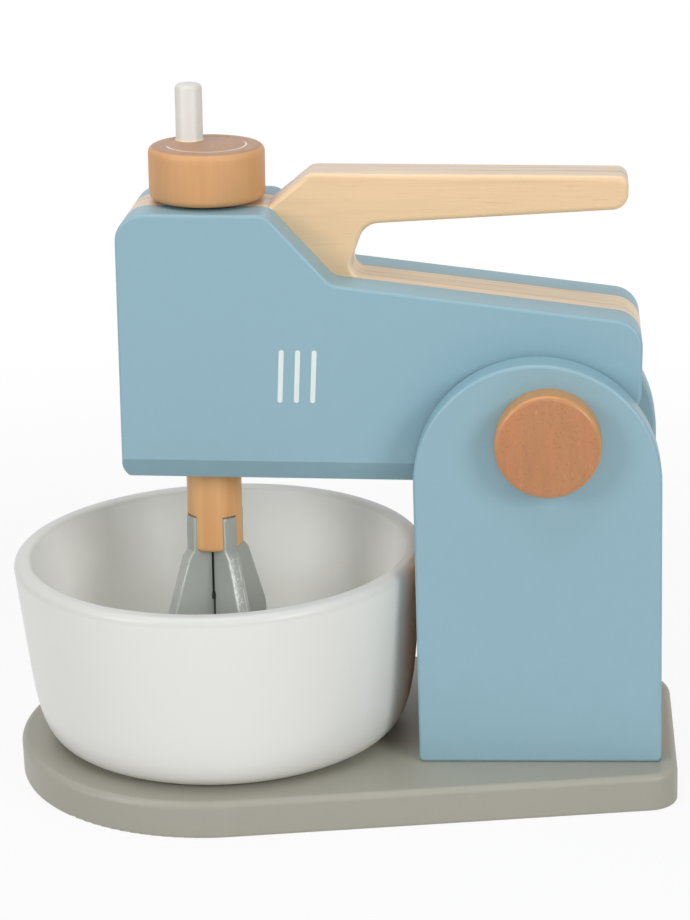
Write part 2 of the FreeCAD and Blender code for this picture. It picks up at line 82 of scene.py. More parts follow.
BAR_CENTRES_X = (22.0 * MM, 26.6 * MM, 31.2 * MM)
BAR_CENTRE_Z = 121.6 * MM
BAR_LEAN = math.radians(2.3)
BAR_ROUND = 0.499                      # round of a bar's ends, as a share of its width
INK_DEPTH = 0.06 * MM

KNOB_FOOT_Z = 168.2 * MM
RING_DEPTH = 0.06 * MM
RING_WHITE_START = (-2.98, -2.72)      # angles round the knob between which the painted highlight in the ring begins
RING_WHITE_END = (0.1, 0.65)           # and between which it ends
LEVER_X, LEVER_Y = -5.6 * MM, 6.8 * MM   # from the knob's axis
LEVER_ROOT = 4.0 * MM                  # how deep the lever stands in the knob
GLUE_BEAD = (                          # rings of the bead: out from the lever, up from the knob
    (0.0, -0.1 * MM), (0.25 * MM, 0.0), (0.18 * MM, 0.2 * MM), (0.0, 0.5 * MM),
)
LEVER_TIP = (                          # rings of the tip: in from the side, down from the top
    (0.0, 1.35 * MM), (0.35 * MM, 0.55 * MM), (1.05 * MM, 0.12 * MM), (2.0 * MM, 0.0),
)

BELLY_Z = 41.2 * MM                    # height of the centre of a blade's round belly
SHOULDER = (10.25 * MM, 62.45 * MM)    # half width and height where a blade's flank ends
NECK_FOOT = (8.6 * MM, 64.35 * MM)     # half width and height where its neck begins
NECK_TOP = (8.6 * MM, 74.7 * MM)
ARRIS = 0.6 * MM                       # bevel of a blade's long edges
LAP_GAP = 1.2 * MM                     # how much wider a slot is than the other blade
JOINT_EDGE = (3.15 * MM, 3.5 * MM)     # distances from the axis between which the painted shade in the joint ends
NICK_Z, NICK_DEPTH = 49.5 * MM, 0.45 * MM   # where the painted shade in the joint is a little wider, and how much
BLADE_TURN = math.radians(39.5)        # of the second blade, about the axis from the front
LAP_Z, LAP_SPARE = 50.0 * MM, 0.05 * MM     # where the two slots meet, and how far each goes on
BLADES = (                             # letter, turn about the axis, slot from and to, strength of the painted highlights
    ("a", BLADE_TURN - math.pi / 2, (-10.0 * MM, LAP_Z + LAP_SPARE), 1.0),
    ("b", BLADE_TURN, (LAP_Z - LAP_SPARE, 90.0 * MM), 0.35),
)

BOWL_FOOT_Z, BOWL_RIM_Z = (corner.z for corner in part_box("bowl"))
BOWL_FLOOR_Z = BOWL_FOOT_Z + 5.0 * MM
BOWL_BELLY_Z = BOWL_FOOT_Z + 24.7 * MM
BOWL_SET_IN = 2.0 * MM                 # from the edge of the foot or the floor to the flat disc
BOWL_HANDLES = (0.73, 0.76)            # fullness of the curve at the foot and at the belly
BOWL_CURVE_STEPS = 18
BOWL_ROUNDS = (2.6 * MM, 1.3 * MM)     # rounds of the rim outside and inside
WALL_FOOT = 40.0 * MM                  # radius at the foot of the line along the wall's middle
WALL_SWEEP = 15.15 * MM                # how far that line swells from the foot to the belly
WALL_DROP = 23.2 * MM                  # how far below the belly it starts
WALL_LEAN = 0.087                      # how much it leans out above the belly

# ---- the stage ---------------------------------------------------------------------------------
FLOOR_SIZE = 12.0
GLOW_EDGE = (0.2, 0.5)                 # distances over which the floor's glow becomes full
LAMP_TARGET = Vector((0.04, 0, 0.09))
LAMPS = (                              # name, place, size, power
    ("left", Vector((-1.1, -1.05, 0.7)), 0.6, 8.0),
    ("right", Vector((1.15, -1.05, 0.7)), 0.6, 9.5),
    ("front", Vector((0.25, -1.6, 0.72)), 0.5, 3.0),
    ("top", Vector((-0.15, -0.1, 1.3)), 1.2, 8.0),
)
WORLD_LIGHT, WORLD_SEEN = 0.15, 1.0    # strength for the mixer, and as the camera sees it
CAMERA_PLACE = (0.101144, -0.738485, 0.329421)
CAMERA_YAW, CAMERA_PITCH, CAMERA_ROLL = 0.0854, 0.3096, 0.0333
CAMERA_LENS, CAMERA_SENSOR = 105.13, 36.0   # millimetres
CAMERA_CLIP = (0.05, 50.0)

ROUNDING = 1e-6


def same(first, second):
    """Whether two lengths are the same but for rounding."""
    return abs(first - second) < ROUNDING


def on_head(x, y, z):
    """Where a point of the head, given with the head level, is at rest."""
    level = Vector((x, y, z)) - pivot
    level.rotate(Matrix.Rotation(head_tilt, 3, "Y"))
    return pivot + level


# ---- sizes and colours that a user may change --------------------------------------------------
def length(name, description, default):
    return bpy.props.FloatProperty(name=name, description=description, default=default, min=0,
                                   unit="LENGTH", precision=5)


def colour(name, description, default):
    return bpy.props.FloatVectorProperty(name=name, description=description, default=default,
                                         size=3, min=0, max=1, subtype="COLOR")


class MixerColours(bpy.types.PropertyGroup):
    """Colours of the mixer's finishes and of the floor."""

    blue: colour("Blue paint", "Paint of the head panels and the uprights", (0.278, 0.451, 0.53))
    taupe: colour("Taupe paint", "Paint of the base", (0.374, 0.361, 0.301))
    print_white: colour("Printed bars", "Ink of the three bars on the head", (0.78, 0.85, 0.83))
    pale_wood: colour("Pale wood", "Broad faces of the head's core and its handle",
                      (0.853, 0.605, 0.356))
    # the greyer edge colour is partly the wood's own tone and partly a painted reflection on the top faces
    pale_edge: colour("Pale wood, edges", "Sawn edges of the core and the handle",
                      (0.78, 0.61, 0.45))
    knob_side: colour("Knob, side", "Beech of the knob's side", (0.677, 0.363, 0.153))
    knob_top: colour("Knob, top", "End grain on top of the knob", (0.474, 0.274, 0.165))
    # painted highlight: the white for the knob's ring, laid on one side only where the groove catches the light
    ring_highlight: colour("Knob, ring", "White left in the ring on the knob", (0.84, 0.79, 0.74))
    shaft: colour("Shaft", "Beech of the shaft and the dowels", (0.84, 0.452, 0.2))
    block: colour("Block", "Beech of the block between the uprights", (0.72, 0.4, 0.18))
    cap_rim: colour("Cap, rim", "Rims of the pivot caps", (0.593, 0.286, 0.091))
    cap_face: colour("Cap, face", "Flat faces of the pivot caps", (0.512, 0.22, 0.09))
    bowl: colour("Bowl, outside", "Lacquer on the outside of the bowl", (0.81, 0.81, 0.775))
    # painted light: the inside is given a lighter colour than the outside to brighten the shade inside the bowl
    bowl_inside_lit: colour("Bowl, inside", "Lacquer on the inside of the bowl", (0.92, 0.92, 0.885))
    lever: colour("Lever paint", "Paint of the lever on the knob", (0.747, 0.726, 0.682))
    glue: colour("Glue", "Bead of glue at the lever's foot", (0.86, 0.78, 0.58))
    grey: colour("Beater paint", "Paint of the beater blades", (0.43, 0.46, 0.43))
    # painted highlight: the light grey for highlights and a lamp's reflection on the blades' arrises and narrow
    # edges
    grey_highlight: colour("Beater paint, worn", "Rubbed arrises of the beater blades",
                      (0.8, 0.82, 0.78))
    washer: colour("Washers", "Plastic of the washers", (0.7, 0.7, 0.67))
    zinc: colour("Screws", "Zinc on the screws", (0.55, 0.55, 0.57))
    floor: colour("Floor", "Floor of the stage", (0.8, 0.8, 0.8))


class MixerSizes(bpy.types.PropertyGroup):
    """Sizes of the pieces that are modelled over the frame."""

    knob_radius: length("Knob radius", "Radius of the knob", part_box("knob")[1].y)
    knob_height: length("Knob height", "Height of the knob without its lever", 15.0 * MM)
    knob_edge: length("Knob edge", "Rounding of the knob's edges", 1.9 * MM)
    ring_radius: length("Ring radius", "Radius of the ring turned into the knob", 11.2 * MM)
    ring_width: length("Ring width", "Width of the ring turned into the knob", 0.7 * MM)
    lever_radius: length("Lever radius", "Radius of the lever", 3.85 * MM)
    lever_height: length("Lever height", "Height of the lever above the knob", 16.05 * MM)
    cap_radius: length("Cap radius", "Radius of the pivot caps", cap_high.z - pivot.z)
    cap_thickness: length("Cap thickness", "Thickness of the pivot caps", cap_high.y - cap_low.y)
    cap_edge: length("Cap edge", "Rounding of the outer edge of the caps", 1.5 * MM)
    blade_thickness: length("Blade thickness", "Thickness of a beater blade", 4.4 * MM)
    belly_radius: length("Belly radius", "Radius of the round belly of a blade", 16.3 * MM)
    bowl_rim: length("Bowl rim", "Radius of the bowl's rim", 60.35 * MM)
    bowl_belly: length("Bowl belly", "Radius of the bowl where its side meets its lower curve",
                       57.4 * MM)
    bowl_foot: length("Bowl foot", "Radius of the bowl's flat foot", 43.5 * MM)
    bowl_wall: length("Bowl wall", "Thickness of the bowl's wall", 5.3 * MM)
    bar_width: length("Bar width", "Width of each printed bar", 1.4 * MM)
    bar_height: length("Bar height", "Height of each printed bar", 15.3 * MM)


# ---- shader maths ------------------------------------------------------------------------------
class Wire:
    """An output of a shader node. Arithmetic on it adds Math nodes."""

    def __init__(self, nodes, socket):
        self.nodes = nodes
        self.socket = socket

    def __add__(self, other):
        return self.nodes.math("ADD", self, other)

    def __radd__(self, other):
        return self.nodes.math("ADD", other, self)

    def __sub__(self, other):
        return self.nodes.math("SUBTRACT", self, other)

    def __rsub__(self, other):
        return self.nodes.math("SUBTRACT", other, self)

    def __mul__(self, other):
        return self.nodes.math("MULTIPLY", self, other)

    def __rmul__(self, other):
        return self.nodes.math("MULTIPLY", other, self)

    def __truediv__(self, other):
        return self.nodes.math("DIVIDE", self, other)

    def __rtruediv__(self, other):
        return self.nodes.math("DIVIDE", other, self)

    def __pow__(self, other):
        return self.nodes.math("POWER", self, other)

    def __rpow__(self, other):
        return self.nodes.math("POWER", other, self)

    def __abs__(self):
        return self.nodes.math("ABSOLUTE", self)

    def swing(self, amount):
        """A noise that goes as far below 0 as above it, times an amount."""
        return (self - 0.5) * amount


class Nodes:
    """The node tree of one material."""

    def __init__(self, name):
        self.material = bpy.data.materials.new(name)
        self.material.use_nodes = True
        self.tree = self.material.node_tree
        self.surface = self.tree.nodes["Principled BSDF"]
        self.place = self.add("ShaderNodeTexCoord", output="Object")

    def add(self, kind, settings=None, inputs=None, output=0):
        """One node: its settings first, then the values or links of its sockets."""
        node = self.tree.nodes.new(kind)
        for name, value in (settings or {}).items():
            setattr(node, name, value)
        for name, value in (inputs or {}).items():
            self.feed(node.inputs[name], value)
        return Wire(self, node.outputs[output])

    def feed(self, socket, value):
        """Links a wire to a socket, or sets the socket's own value."""
        if isinstance(value, Wire):
            self.tree.links.new(value.socket, socket)
        elif socket.type == "RGBA" and len(value) == 3:
            socket.default_value = (*value, 1)
        else:
            socket.default_value = value

    def local(self, centre, turn):
        """Object coordinates as seen from a centre and a turn."""
        return self.add("ShaderNodeMapping", {"vector_type": "TEXTURE"},
                        {"Vector": self.place, "Location": centre, "Rotation": turn})

    def parts(self, vector):
        """The x, y and z of a vector."""
        return [self.add("ShaderNodeSeparateXYZ", None, {"Vector": vector}, axis) for axis in "XYZ"]

    def noise(self, place, scale, detail=2, roughness=0.5, distortion=0, stretch=None):
        """Soft noise from 0 to 1. A stretch below 1 draws it out along that axis."""
        if stretch:
            place = self.add("ShaderNodeVectorMath", {"operation": "MULTIPLY"},
                             {0: place, 1: stretch})
        return self.add("ShaderNodeTexNoise", None,
                        {"Vector": place, "Scale": scale, "Detail": detail,
                         "Roughness": roughness, "Distortion": distortion})

    def math(self, operation, *values):
        return self.add("ShaderNodeMath", {"operation": operation}, dict(enumerate(values)))

    def smooth(self, value, low, high):
        """From 0 at low to 1 at high, with soft ends."""
        return self.add("ShaderNodeMapRange", {"interpolation_type": "SMOOTHSTEP"},
                        {"Value": value, "From Min": low, "From Max": high})

    def fade(self, value, low, high):
        """From 1 at low to 0 at high, with soft ends."""
        return 1.0 - self.smooth(value, low, high)

    def band(self, value, rise, fall):
        """1 between a rise and a fall, each given as where it starts and where it ends."""
        return self.smooth(value, *rise) * self.fade(value, *fall)

    def blend(self, factor, first, second):
        """A mix of two colours."""
        return self.add("ShaderNodeMix", {"data_type": "RGBA"},
                        {"Factor": factor, 6: first, 7: second}, 2)

    def dye(self, base, shade):
        """A colour made darker or lighter by a shade."""
        grey = self.add("ShaderNodeCombineColor", None,
                        {"Red": shade, "Green": shade, "Blue": shade})
        return self.add("ShaderNodeMix", {"data_type": "RGBA", "blend_type": "MULTIPLY"},
                        {"Factor": 1.0, 6: base, 7: grey}, 2)

    def finish(self, base, roughness, relief=None, depth=0.0, coat=0.0, coat_roughness=0.1):
        """The surface: colour, gloss, relief and a clear coat. Returns the material."""
        self.feed(self.surface.inputs["Base Color"], base)
        self.feed(self.surface.inputs["Roughness"], roughness)
        self.surface.inputs["Coat Weight"].default_value = coat
        self.surface.inputs["Coat Roughness"].default_value = coat_roughness
        if relief is not None:
            bump = self.add("ShaderNodeBump", None,
                            {"Strength": 1.0, "Distance": depth, "Height": relief})
            self.feed(self.surface.inputs["Normal"], bump)
        return self.material


def off_axis(x, y):
    """How far a point is from the Z axis."""
    return (x ** 2.0 + y ** 2.0) ** 0.5


def tinted(base, factors):
    """A plain colour with its red, green and blue each made darker or lighter."""
    return tuple(level * factor for level, factor in zip(base, factors))


# ---- finishes ----------------------------------------------------------------------------------
def painted_board(name, paint, seams=False):
    """Satin paint over wood: a faint cloud, the stipple of the spray and the grain just showing.
    Painted shade darkens it along the seams where a board meets the head's core, most at the rear."""
    n = Nodes(name)
    cloud = n.noise(n.place, scale=16)
    mottle = n.noise(n.place, scale=240, detail=3, roughness=0.6)
    stipple = n.noise(n.place, scale=1100)
    grain = n.noise(n.place, scale=420, detail=3, roughness=0.6, stretch=(0.06, 1, 1))
    shade = 0.955 + cloud * 0.05 + mottle * 0.04
    if seams:
        y = n.parts(n.place)[1]
        # painted shade in the crease where a panel meets the core, broken into patches, stronger at the rear
        seam = n.fade(abs(y), CORE_FACE + 0.15 * MM, CORE_FACE + 0.55 * MM)
        patches = n.smooth(n.noise(n.place, scale=160), 0.35, 0.6)
        rear = n.smooth(y, 0.0, 1.0 * MM)
        shade = shade * (1.0 - seam * (0.35 + patches * 0.65) * (0.1 + rear * 0.45))
    gloss = 0.34 + stipple * 0.08 + mottle * 0.06
    return n.finish(n.dye(paint, shade), gloss, grain * 0.6 + stipple * 0.4, depth=0.06 * MM)


def broad_face(n, wood, bands, fibres, ticks):
    """The smooth broad face of a pale board, with a faint blush."""
    lines = n.smooth(n.noise(n.place, scale=620, stretch=(0.022, 0.5, 1)), 0.52, 0.74)
    blush = n.smooth(n.noise(n.place, scale=42, stretch=(0.25, 1, 1)), 0.4, 0.68)
    stained = n.blend(blush * 0.6, wood, tinted(wood, (1.0, 0.94, 0.9)))
    shade = 0.97 + bands.swing(0.14) - lines * 0.06 - ticks * 0.05 + fibres.swing(0.07)
    return n.dye(stained, shade)


def sawn_edge(n, wood, handle, bands, fibres):
    """The sawn edge of a pale board, cut through bowed sheets of dark and pale grain. It is
    lighter on the head than on the handle."""
    x, y, z = n.parts(n.place)
    bow = (z - SHEET_MIDDLE_Z) ** 2.0 / SHEET_BOW
    sheets = n.add("ShaderNodeCombineXYZ", None, {"X": x * 0.022, "Y": y + bow, "Z": z * 0.07})
    rings = n.noise(sheets, scale=520, detail=3, roughness=0.6, distortion=0.5)
    dark_rings = n.smooth(rings, 0.52, 0.66)
    pale_rings = n.fade(rings, 0.34, 0.47)
    # the greyer, lighter edge colour is partly the wood's own tone and partly a painted reflection that the top
    # faces catch
    stained = n.blend(handle, tinted(wood, (1.18, 1.18, 1.06)), wood)
    shade = 0.96 + bands.swing(0.2) - dark_rings * 0.27 + pale_rings * 0.12 + fibres.swing(0.14)
    return n.dye(stained, shade)


def pale_board(name, colours):
    """A light close-grained board with clear lacquer, its grain along X. The broad faces are smooth
    and warm, and the sawn edges between them are greyer, with strong lines of grain; that grey is
    partly the wood's own tone and partly a painted reflection on the top faces. On the handle a
    painted highlight lies between the two. Painted shade darkens the edge along the rear seam of
    the head."""
    n = Nodes(name)
    y, z = n.parts(n.place)[1:]
    inward = CORE_FACE - abs(y)
    handle = n.smooth(z, *HANDLE_START)
    bands = n.noise(n.place, scale=230, detail=3, roughness=0.55, distortion=0.4,
                    stretch=(0.05, 0.35, 1))
    fibres = n.noise(n.place, scale=1500, roughness=0.6, stretch=(0.03, 1, 1))
    ticks = n.smooth(n.noise(n.place, scale=1300, detail=1, stretch=(0.09, 1, 1)), 0.66, 0.76)
    edge = n.smooth(inward, 0.02 * MM + handle * (0.88 * MM), 0.2 * MM + handle * (1.7 * MM))
    base = n.blend(edge, broad_face(n, colours.pale_wood, bands, fibres, ticks),
                   sawn_edge(n, colours.pale_edge, handle, bands, fibres))
    # painted highlight: a pale cream band on the handle's rounded arris
    rounded = handle * n.band(inward, (0.1 * MM, 0.7 * MM), (1.2 * MM, 2.0 * MM))
    base = n.blend(rounded * 0.55, base, tinted(colours.pale_wood, (1.12, 1.22, 1.4)))
    # painted shade: the core's edge is darkened next to the rear seam, where shade falls in the crease
    rear_seam_shade = n.smooth(y, CORE_FACE - 0.4 * MM, CORE_FACE - 0.05 * MM) * n.fade(z, *SEAM_END)
    relief = fibres * 0.6 + bands * 0.4 - ticks * 0.4
    return n.finish(n.dye(base, 1.0 - rear_seam_shade * 0.3), 0.4 + fibres * 0.1, relief, depth=0.08 * MM,
                    coat=0.25, coat_roughness=0.22)


def beech_grain(n, place):
    """Streaks, fibres and short dark flecks that run along the Z of a place."""
    streaks = n.noise(place, scale=300, detail=3, roughness=0.6, distortion=0.5,
                      stretch=(1, 1, 0.05))
    fibres = n.noise(place, scale=1500, roughness=0.6, stretch=(1, 1, 0.05))
    flecks = n.smooth(n.noise(place, scale=1150, detail=1, stretch=(1, 1, 0.16)), 0.66, 0.74)
    return streaks, fibres, flecks


def end_grain(n, place, wood, fleck=0.07):
    """The pores, sparks and rays of a cut beech face, drawn out along Y. Dark and light flecks are
    as strong as fleck says."""
    rays = n.noise(place, scale=430, detail=3, roughness=0.6, distortion=0.3,
                   stretch=(1, 0.14, 1))
    pores = n.smooth(n.noise(place, scale=1500, detail=1), 0.6, 0.72)
    sparks = n.smooth(n.noise(place, scale=1100, detail=1, stretch=(1, 0.3, 1)), 0.66, 0.76)
    patches = n.smooth(n.noise(place, scale=110, stretch=(1, 0.3, 1)), 0.4, 0.62)
    stained = n.blend(patches, tinted(wood, (0.97, 0.99, 1.0)), tinted(wood, (1.03, 0.99, 0.97)))
    return n.dye(stained, 0.97 + rays.swing(0.3) - pores * fleck + sparks * (fleck + 0.03))


def block_wood(name, wood):
    """Oiled beech board with its grain upright."""
    n = Nodes(name)
    streaks, fibres, flecks = beech_grain(n, n.place)
    bands = n.noise(n.place, scale=120, detail=3, roughness=0.55, distortion=0.4,
                    stretch=(0.35, 1, 0.04))
    shade = 0.96 + bands.swing(0.2) + streaks.swing(0.12) - flecks * 0.07 + fibres.swing(0.08)
    return n.finish(n.dye(wood, shade), 0.42 + streaks * 0.1, fibres * 0.7 - flecks * 0.3,
                    depth=0.07 * MM, coat=0.15, coat_roughness=0.2)


def dowel_wood(name, wood, turn, centre):
    """Beech rod with its grain along its length, in lighter and redder stripes."""
    n = Nodes(name)
    local = n.local(centre, turn)
    streaks, fibres, flecks = beech_grain(n, local)
    stripes = n.smooth(n.noise(local, scale=130, stretch=(1, 1, 0.03)), 0.38, 0.62)
    stained = n.blend(stripes, tinted(wood, (0.985, 0.95, 0.88)), tinted(wood, (1.05, 1.11, 1.03)))
    shade = 0.96 + streaks.swing(0.18) - flecks * 0.05 + fibres.swing(0.1)
    return n.finish(n.dye(stained, shade), 0.4 + streaks * 0.1, fibres - flecks * 0.3,
                    depth=0.06 * MM, coat=0.15, coat_roughness=0.2)


def turned_knob_wood(name, colours, sizes):
    """Side grain round the knob, end grain on its flat top, and a white painted highlight in the
    groove on one side, where the ring catches the light."""
    n = Nodes(name)
    height = sizes.knob_height
    local = n.local(on_head(0, 0, KNOB_FOOT_Z), (0, head_tilt, 0))
    x, y, z = n.parts(local)
    streaks, fibres, flecks = beech_grain(n, local)
    # painted highlight: a lighter band round the side just under the top edge
    painted_glint = n.smooth(z, height - 3.0 * MM, height - 1.2 * MM)
    blush = n.smooth(n.noise(n.place, scale=60, stretch=(1, 1, 0.4)), 0.4, 0.65)
    wood = n.blend(blush * 0.7, colours.knob_side, tinted(colours.knob_side, (0.98, 0.93, 0.98)))
    shade = 0.97 + streaks.swing(0.18) - flecks * 0.03 + fibres.swing(0.08) + painted_glint * 0.05
    top = n.smooth(z, height - 0.45 * MM, height - 0.15 * MM)
    base = n.blend(top, n.dye(wood, shade), end_grain(n, local, colours.knob_top))
    off_ring = abs(off_axis(x, y) - sizes.ring_radius)
    groove = n.fade(off_ring, sizes.ring_width * 0.25, sizes.ring_width * 0.55)
    near_top = n.smooth(z, height - 0.6 * MM, height - 0.5 * MM)
    # painted highlight: white in the groove only over the angles where it catches the light
    white = n.band(n.math("ARCTAN2", y, x), RING_WHITE_START, RING_WHITE_END)
    base = n.blend(groove * white * near_top, base, colours.ring_highlight)
    return n.finish(base, 0.42 + streaks * 0.1, fibres * 0.7 - flecks * 0.3, depth=0.06 * MM)


def cap_wood(name, colours, turn, face):
    """Side grain round the rim of a cap and flecked grain on its flat end, which is at a distance
    of face from the middle of the mixer, with a lighter line near the edge that is a painted highlight."""
    n = Nodes(name)
    local = n.local((pivot.x, 0, pivot.z), (turn, 0, 0))
    z = n.parts(local)[2]
    streaks, fibres, flecks = beech_grain(n, local)
    rim = n.dye(colours.cap_rim, 0.95 + streaks.swing(0.24) - flecks * 0.08)
    end = n.smooth(z, face - 0.5 * MM, face - 0.2 * MM)
    base = n.blend(end, rim, end_grain(n, local, colours.cap_face, fleck=0.15))
    # painted highlight: a lighter ring just inside the rounded edge of the end
    rim_highlight = n.band(z, (face - 1.5 * MM, face - 0.7 * MM), (face - 0.35 * MM, face))
    base = n.blend(rim_highlight * 0.2, base, tinted(colours.cap_rim, (1.25, 1.2, 1.2)))
    return n.finish(base, 0.34 + streaks * 0.1, fibres * 0.7 - flecks * 0.3, depth=0.06 * MM,
                    coat=0.25, coat_roughness=0.12)


def lever_paint(name, colours, foot):
    """Satin white paint with a cream bead of glue at the foot."""
    n = Nodes(name)
    z = n.parts(n.local(foot, (0, head_tilt, 0)))[2]
    cloud = n.noise(n.place, scale=260)
    paint = n.dye(colours.lever, 0.97 + cloud * 0.05)
    base = n.blend(n.fade(z, 0.25 * MM, 0.6 * MM), paint, colours.glue)
    return n.finish(base, 0.36 + cloud * 0.08, n.noise(n.place, scale=1500), depth=0.04 * MM)


def blade_paint(name, colours, sizes, turn, highlight_strength):
    """Semi-gloss grey paint, grainy, with painted shade in the joint where the blades cross, and
    painted highlights as strong as the last argument says: in broken lines along the arrises, and a
    painted reflection in specks on the narrow edges."""
    n = Nodes(name)
    x, y, z = n.parts(n.local(on_head(0, 0, 0), turn))
    half = sizes.blade_thickness / 2
    cloud = n.noise(n.place, scale=90, detail=3)
    grain = n.noise(n.place, scale=700, detail=3, roughness=0.6, stretch=(1, 1, 0.12))
    stipple = n.noise(n.place, scale=1900)
    broken = n.smooth(n.noise(n.place, scale=620, roughness=0.6, stretch=(1, 1, 0.35)), 0.36, 0.56)
    specks = n.smooth(n.noise(n.place, scale=1700, roughness=0.7, stretch=(1, 1, 0.5)), 0.47, 0.66)

    # painted shade: dark in the corner where the two blades cross
    nick = n.fade(abs(z - NICK_Z), 0.7 * MM, 1.5 * MM)
    joint = n.fade(off_axis(x, y) - nick * NICK_DEPTH, *JOINT_EDGE)
    shade = (0.93 + cloud * 0.1 + grain.swing(0.06)) * (1.0 - joint * 0.85)

    # painted highlights along the arrises, stronger on one side, and painted reflection specks on the narrow edges
    near = n.fade(y, -0.5 * MM, 1.0 * MM)
    arris = n.band(abs(y), (half - 0.7 * MM, half - 0.5 * MM), (half - 0.3 * MM, half - 0.12 * MM))
    under_neck = n.fade(z, NECK_FOOT[1] - 0.85 * MM, NECK_FOOT[1] + 1.15 * MM)
    neck_end = n.smooth(z, NECK_TOP[1] - 0.9 * MM, NECK_TOP[1] - 0.3 * MM)
    narrow = n.fade(abs(y), half - 0.6 * MM, half - 0.3 * MM)
    under_shoulder = n.fade(z, SHOULDER[1] - 0.15 * MM, SHOULDER[1] + 0.85 * MM)
    second_line = n.fade(abs(y - half * 0.45), 0.12 * MM, 0.3 * MM) * broken
    highlight = arris * (broken * under_neck * (0.35 + near * 0.65) + neck_end * 0.6)
    highlight = highlight + narrow * under_shoulder * (specks * (0.12 + near * 0.6) + second_line * 0.6)

    base = n.blend(highlight * highlight_strength, n.dye(colours.grey, shade), colours.grey_highlight)
    return n.finish(base, 0.24 + stipple * 0.12, grain * 0.5 + stipple * 0.5, depth=0.09 * MM,
                    coat=0.35, coat_roughness=0.15)


def lacquered_bowl(name, colours):
    """Thick satin lacquer over turned wood, with the faint swell of a hand finish. The inside has a
    lighter colour, painted light that brightens the shade inside the bowl. The inside starts at the
    middle of the wall, which sweeps out from the foot in a quarter round and leans out from the
    belly up. The rim and lip are darker: painted shade that tones down the light on the rim."""
    n = Nodes(name)
    cloud = n.noise(n.place, scale=14)
    swell = n.noise(n.place, scale=55)
    x, y, z = n.parts(n.place)
    drop = n.math("MAXIMUM", BOWL_BELLY_Z - z, 0.0) / WALL_DROP
    sweep = n.math("MAXIMUM", 1.0 - drop ** 2.0, 0.0) ** 0.5
    above = n.math("MAXIMUM", z - BOWL_BELLY_Z, 0.0)
    middle = WALL_FOOT + sweep * WALL_SWEEP + above * WALL_LEAN
    over_floor = n.smooth(z, BOWL_FOOT_Z + 2.0 * MM, BOWL_FLOOR_Z - 2.0 * MM)
    inside = n.smooth(middle - off_axis(x, y), -1.2 * MM, 1.2 * MM) * over_floor
    lip = n.smooth(z, BOWL_RIM_Z - 1.5 * MM, BOWL_RIM_Z - 0.4 * MM)
    rim = n.smooth(z, BOWL_RIM_Z - 3.2 * MM, BOWL_RIM_Z - 1.2 * MM)
    # painted shade: the rim outside and the lip inside are darkened to tone down the light on the rim
    dark = rim * (1.0 - inside) + lip * inside
    # painted light: the lighter inside colour, kept off the lip
    base = n.blend(inside * (1.0 - lip), colours.bowl, colours.bowl_inside_lit)
    return n.finish(n.dye(base, 0.985 + cloud * 0.03 - dark * 0.13), 0.36 + swell * 0.08, swell,
                    depth=0.2 * MM, coat=0.2, coat_roughness=0.12)


def printed_ink(name, ink):
    """Satin ink with a faint cloud."""
    n = Nodes(name)
    cloud = n.noise(n.place, scale=120)
    stipple = n.noise(n.place, scale=1500)
    return n.finish(n.dye(ink, 0.96 + cloud * 0.08), 0.4 + stipple * 0.08, stipple,
                    depth=0.04 * MM)


def washer_plastic(name, plastic):
    """Dull moulded plastic."""
    n = Nodes(name)
    return n.finish(n.dye(plastic, 0.96 + n.noise(n.place, scale=300) * 0.08), 0.5)


def zinc_steel(name, zinc):
    """Steel with the spangle of a zinc coat."""
    n = Nodes(name)
    n.surface.inputs["Metallic"].default_value = 1.0
    spangle = n.noise(n.place, scale=700, detail=3)
    return n.finish(n.dye(zinc, 0.9 + spangle * 0.2), 0.3 + spangle * 0.15)


# ---- helpers for modelling ---------------------------------------------------------------------
def select_only(piece):
    """Selects one piece, or nothing at all where it is None."""
    bpy.ops.object.select_all(action="DESELECT")
    if piece is not None:
        piece.select_set(True)
        bpy.context.view_layer.objects.active = piece


def pick_edges(piece, wanted):
    """In edit mode, selects just those edges of a piece whose two ends pass a test."""
    bpy.ops.mesh.select_mode(type="EDGE")
    bpy.ops.mesh.select_all(action="DESELECT")
    bpy.ops.object.mode_set(mode="OBJECT")
    points = piece.data.vertices
    for edge in piece.data.edges:
        edge.select = wanted([points[i].co for i in edge.vertices])
    bpy.ops.object.mode_set(mode="EDIT")


def extrude(x, y, z):
    """Extrudes what is selected, and moves it."""
    bpy.ops.mesh.extrude_region_move(TRANSFORM_OT_translate={"value": (x, y, z)})


def draw_up(height, next_height, x_ratio, y_ratio):
    """Extrudes what is selected up to the next height, and resizes it about the Z axis."""
    extrude(0, 0, next_height - height)
    bpy.ops.transform.resize(value=(x_ratio, y_ratio, 1), center_override=(0, 0, next_height))


def face_outwards():
    """In edit mode, selects all faces and turns them outwards."""
    bpy.ops.mesh.select_all(action="SELECT")
    bpy.ops.mesh.normals_make_consistent(inside=False)


def round_ring(piece, radius, height, size):
    """Rounds the edges of a turned piece that lie on one circle."""
    def on_ring(ends):
        return all(same(end.z, height) and same(math.hypot(end.x, end.y), radius) for end in ends)

    pick_edges(piece, on_ring)
    bpy.ops.mesh.bevel(offset=size, segments=5, affect="EDGES")


